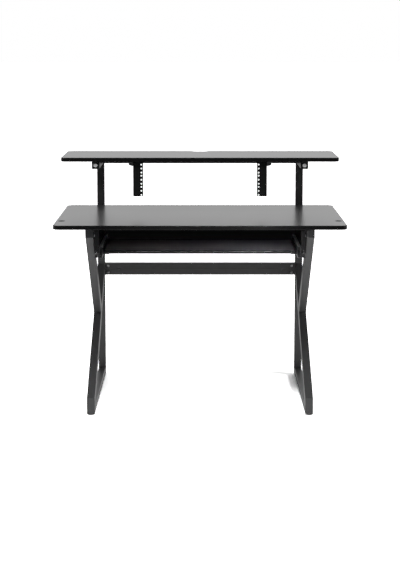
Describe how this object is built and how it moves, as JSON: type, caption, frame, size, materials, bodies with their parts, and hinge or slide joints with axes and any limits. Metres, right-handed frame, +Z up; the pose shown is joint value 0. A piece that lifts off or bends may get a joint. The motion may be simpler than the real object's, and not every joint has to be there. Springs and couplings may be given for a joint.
{
  "type": "studio desk",
  "caption": "Black studio desk: laminate top and raised shelf on welded Z-shaped tube legs, hanging 19 inch rack rails and a keyboard tray on telescopic slides.",
  "frame": {"origin": "on the floor, at the middle of the desk's width and depth", "axes": "+X to the right along the width, +Y from the front to the back, +Z up"},
  "size_m": [1.1, 0.6302, 0.95],
  "materials": {
    "laminate": "black melamine laminate on particle board, satin with a fine grained texture, edges banded in black plastic",
    "powder_coat": "black powder coat on steel, satin, fine orange-peel texture",
    "black_plastic": "black moulded plastic, fine matt grain",
    "zinc": "bright zinc plating on steel screws",
    "slide_steel": "black electro-coated cold-rolled steel, slightly glossy",
    "ball_steel": "zinc-plated cage strip with polished steel balls"
  },
  "bodies": {
    "frame": {"desktop": "laminate", "upper_shelf": "laminate", "shelf_beam": "powder_coat", "crossbar": "powder_coat", "back_panel": "laminate", "left_base_tube": "powder_coat", "left_rear_post": "powder_coat", "left_top_tube": "powder_coat", "left_long_brace": "powder_coat", "left_front_strut": "powder_coat", "left_toe_plate": "powder_coat", "left_top_tube_cap": "black_plastic", "left_base_tube_cap": "black_plastic", "left_front_glide": "black_plastic", "left_rear_glide": "black_plastic", "left_accessory_cap": "black_plastic", "left_shelf_arm": "powder_coat", "left_arm_cap": "black_plastic", "left_arm_bolt": "zinc", "left_crossbar_bracket": "powder_coat", "left_rack_rail": "powder_coat", "left_rail_hanger": "powder_coat", "left_tray_hanger": "powder_coat", "left_hanger_bolt": "zinc", "left_panel_bracket": "powder_coat", "left_slide_outer": "slide_steel", "right_base_tube": "powder_coat", "right_rear_post": "powder_coat", "right_top_tube": "powder_coat", "right_long_brace": "powder_coat", "right_front_strut": "powder_coat", "right_toe_plate": "powder_coat", "right_top_tube_cap": "black_plastic", "right_base_tube_cap": "black_plastic", "right_front_glide": "black_plastic", "right_rear_glide": "black_plastic", "right_accessory_cap": "black_plastic", "right_shelf_arm": "powder_coat", "right_arm_cap": "black_plastic", "right_arm_bolt": "zinc", "right_crossbar_bracket": "powder_coat", "right_rack_rail": "powder_coat", "right_rail_hanger": "powder_coat", "right_tray_hanger": "powder_coat", "right_hanger_bolt": "zinc", "right_panel_bracket": "powder_coat", "right_slide_outer": "slide_steel"},
    "tray": {"keyboard_tray": "laminate", "left_slide_inner": "slide_steel", "left_tray_angle": "powder_coat", "right_slide_inner": "slide_steel", "right_tray_angle": "powder_coat"},
    "left_middle_member": {"left_slide_middle": "slide_steel"},
    "left_outer_cage": {"left_outer_ball_cage": "ball_steel"},
    "left_inner_cage": {"left_inner_ball_cage": "ball_steel"},
    "right_middle_member": {"right_slide_middle": "slide_steel"},
    "right_outer_cage": {"right_outer_ball_cage": "ball_steel"},
    "right_inner_cage": {"right_inner_ball_cage": "ball_steel"}
  },
  "joints": [
    {"name": "tray_slide", "type": "slide", "parent": "frame", "child": "tray", "axis": [0, -1, 0], "range_m": [0, 0.28]},
    {"name": "left_middle_slide", "type": "slide", "parent": "frame", "child": "left_middle_member", "axis": [0, -1, 0], "range_m": [0, 0.14]},
    {"name": "left_outer_cage_slide", "type": "slide", "parent": "frame", "child": "left_outer_cage", "axis": [0, -1, 0], "range_m": [0, 0.07]},
    {"name": "left_inner_cage_slide", "type": "slide", "parent": "left_middle_member", "child": "left_inner_cage", "axis": [0, -1, 0], "range_m": [0, 0.07]},
    {"name": "right_middle_slide", "type": "slide", "parent": "frame", "child": "right_middle_member", "axis": [0, -1, 0], "range_m": [0, 0.14]},
    {"name": "right_outer_cage_slide", "type": "slide", "parent": "frame", "child": "right_outer_cage", "axis": [0, -1, 0], "range_m": [0, 0.07]},
    {"name": "right_inner_cage_slide", "type": "slide", "parent": "right_middle_member", "child": "right_inner_cage", "axis": [0, -1, 0], "range_m": [0, 0.07]}
  ],
  "couplings": [
    {"joint": "left_middle_slide", "follows": "tray_slide", "ratio": 0.5},
    {"joint": "left_outer_cage_slide", "follows": "tray_slide", "ratio": 0.25},
    {"joint": "left_inner_cage_slide", "follows": "tray_slide", "ratio": 0.25},
    {"joint": "right_middle_slide", "follows": "tray_slide", "ratio": 0.5},
    {"joint": "right_outer_cage_slide", "follows": "tray_slide", "ratio": 0.25},
    {"joint": "right_inner_cage_slide", "follows": "tray_slide", "ratio": 0.25}
  ]
}
